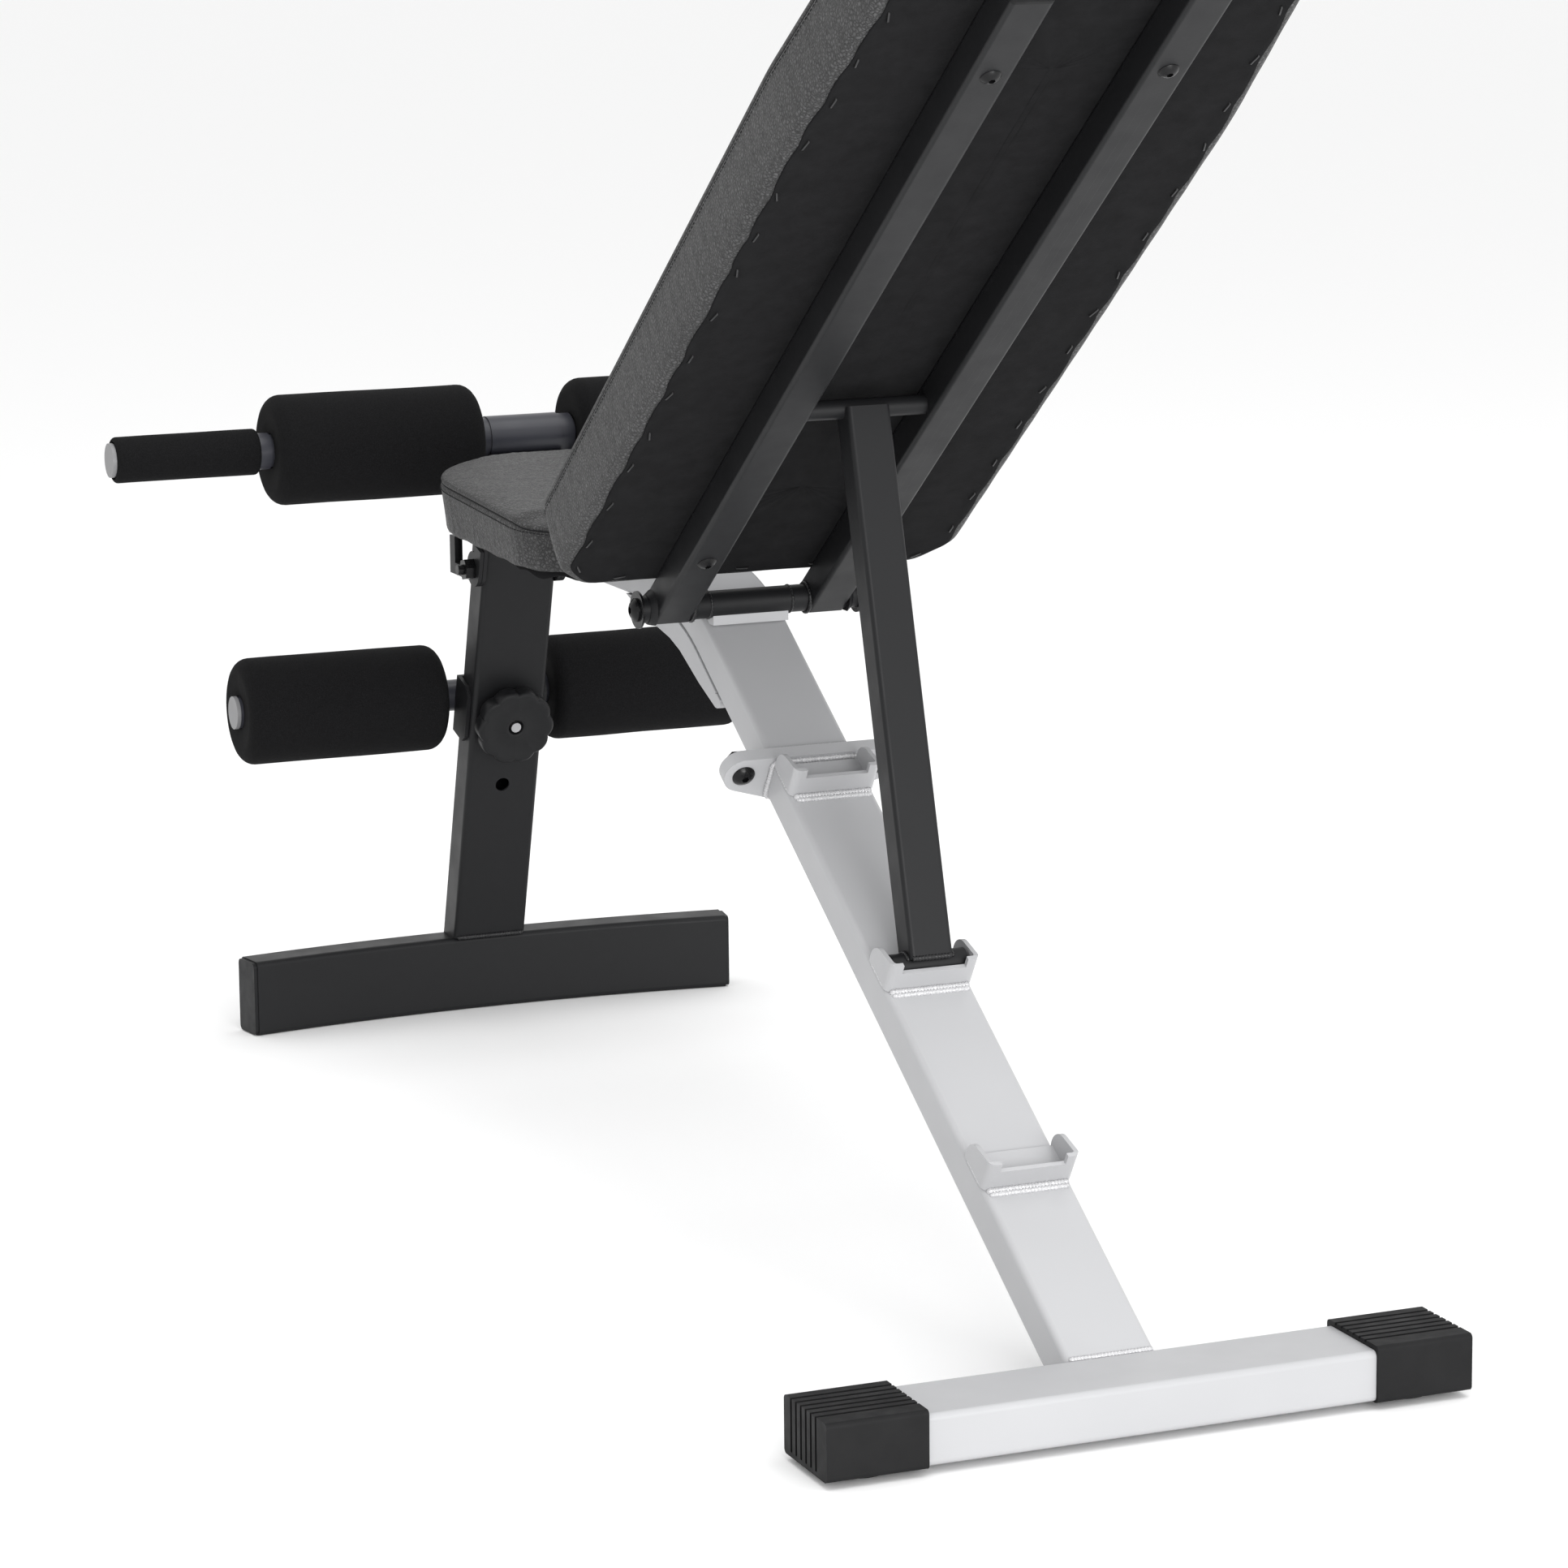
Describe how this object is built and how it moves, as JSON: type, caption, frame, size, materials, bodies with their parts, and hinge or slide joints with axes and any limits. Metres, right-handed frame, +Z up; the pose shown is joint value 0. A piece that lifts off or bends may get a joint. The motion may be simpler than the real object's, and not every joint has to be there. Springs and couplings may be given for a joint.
{
  "type": "decline sit up bench",
  "caption": "Adjustable sit-up bench: padded seat, reclining back on a prop strut with three catches, foam leg rollers and a foam-gripped bar on a leaning front post.",
  "frame": {"origin": "on the floor, midway between the ends of the bench", "axes": "+X across the bench, -Y towards the foam rollers, +Y towards the rear foot, +Z up"},
  "size_m": [0.6566, 1.228, 0.9194],
  "materials": {
    "silver_paint": "satin",
    "charcoal_paint": "satin",
    "slate_paint": "satin",
    "foam": "matte",
    "rubber": "matte",
    "vinyl": "satin",
    "plywood": "matte",
    "black_steel": "satin",
    "grey_plastic": "matte",
    "black_plastic": "matte",
    "charcoal_plastic": "satin",
    "zinc_steel": "satin"
  },
  "bodies": {
    "frame": {"seat_rail": "silver_paint", "upper_leg_tube": "silver_paint", "leg_gusset": "silver_paint", "upper_flange": "silver_paint", "lower_flange": "silver_paint", "flange_bolts": "black_steel", "flange_nuts": "black_steel", "lower_leg_tube": "silver_paint", "catch_top": "silver_paint", "catch_middle": "silver_paint", "catch_bottom": "silver_paint", "rear_foot_tube": "silver_paint", "rear_cap_left": "rubber", "rear_cap_right": "rubber", "rear_foot_pads": "rubber", "front_post": "charcoal_paint", "front_foot": "charcoal_paint", "front_foot_plugs": "charcoal_plastic", "bar_sleeve": "slate_paint", "upper_bar": "slate_paint", "bar_collars": "slate_paint", "grip_left": "foam", "grip_right": "foam", "upper_bar_plugs": "grey_plastic", "carriage_bracket": "charcoal_paint", "lower_bar": "slate_paint", "lower_bar_plugs": "grey_plastic", "knob_stud": "zinc_steel", "rail_fork_plates": "charcoal_paint", "post_bolt": "black_steel", "post_bolt_nut": "black_steel", "front_bracket": "charcoal_paint", "seat_brackets": "charcoal_paint", "seat_board": "plywood", "seat_cushion": "vinyl", "seat_bolts": "black_steel", "pivot_saddle": "silver_paint", "pivot_sleeve": "charcoal_paint", "pivot_axle": "zinc_steel", "pivot_washers": "black_steel", "pivot_end_bolts": "black_steel"},
    "backrest": {"back_tube_left": "charcoal_paint", "back_tube_right": "charcoal_paint", "back_pivot_bushes": "charcoal_paint", "back_tube_plugs": "rubber", "back_board": "plywood", "back_cushion": "vinyl", "back_bolts": "black_steel"},
    "prop_strut": {"strut_tube": "charcoal_paint", "strut_top_bar": "charcoal_paint", "strut_foot_bar": "charcoal_paint"},
    "carriage_knob": {"star_knob": "black_plastic"},
    "upper_left_roller": {"upper_roller_left": "foam"},
    "upper_right_roller": {"upper_roller_right": "foam"},
    "lower_left_roller": {"lower_roller_left": "foam"},
    "lower_right_roller": {"lower_roller_right": "foam"}
  },
  "joints": [
    {"name": "backrest_recline", "type": "hinge", "parent": "frame", "child": "backrest", "pos_m": [0, -0.018, 0.4145], "axis": [1, 0, 0], "range_deg": [0, 46.7]},
    {"name": "strut_swing", "type": "hinge", "parent": "backrest", "child": "prop_strut", "pos_m": [0, 0.1851, 0.57117], "axis": [1, 0, 0], "range_deg": [-37.4, 0]},
    {"name": "knob_turn", "type": "hinge", "parent": "frame", "child": "carriage_knob", "pos_m": [0, -0.51231, 0.24487], "axis": [0, 0.9598, -0.2807], "continuous": true},
    {"name": "upper_left_roller_spin", "type": "hinge", "parent": "frame", "child": "upper_left_roller", "pos_m": [0, -0.48396, 0.4783], "axis": [1, 0, 0], "continuous": true},
    {"name": "upper_right_roller_spin", "type": "hinge", "parent": "frame", "child": "upper_right_roller", "pos_m": [0, -0.48396, 0.4783], "axis": [1, 0, 0], "continuous": true},
    {"name": "lower_left_roller_spin", "type": "hinge", "parent": "frame", "child": "lower_left_roller", "pos_m": [0, -0.57067, 0.26194], "axis": [1, 0, 0], "continuous": true},
    {"name": "lower_right_roller_spin", "type": "hinge", "parent": "frame", "child": "lower_right_roller", "pos_m": [0, -0.57067, 0.26194], "axis": [1, 0, 0], "continuous": true}
  ],
  "couplings": [
    {"joint": "strut_swing", "follows": "backrest_recline", "ratio": -0.8}
  ]
}
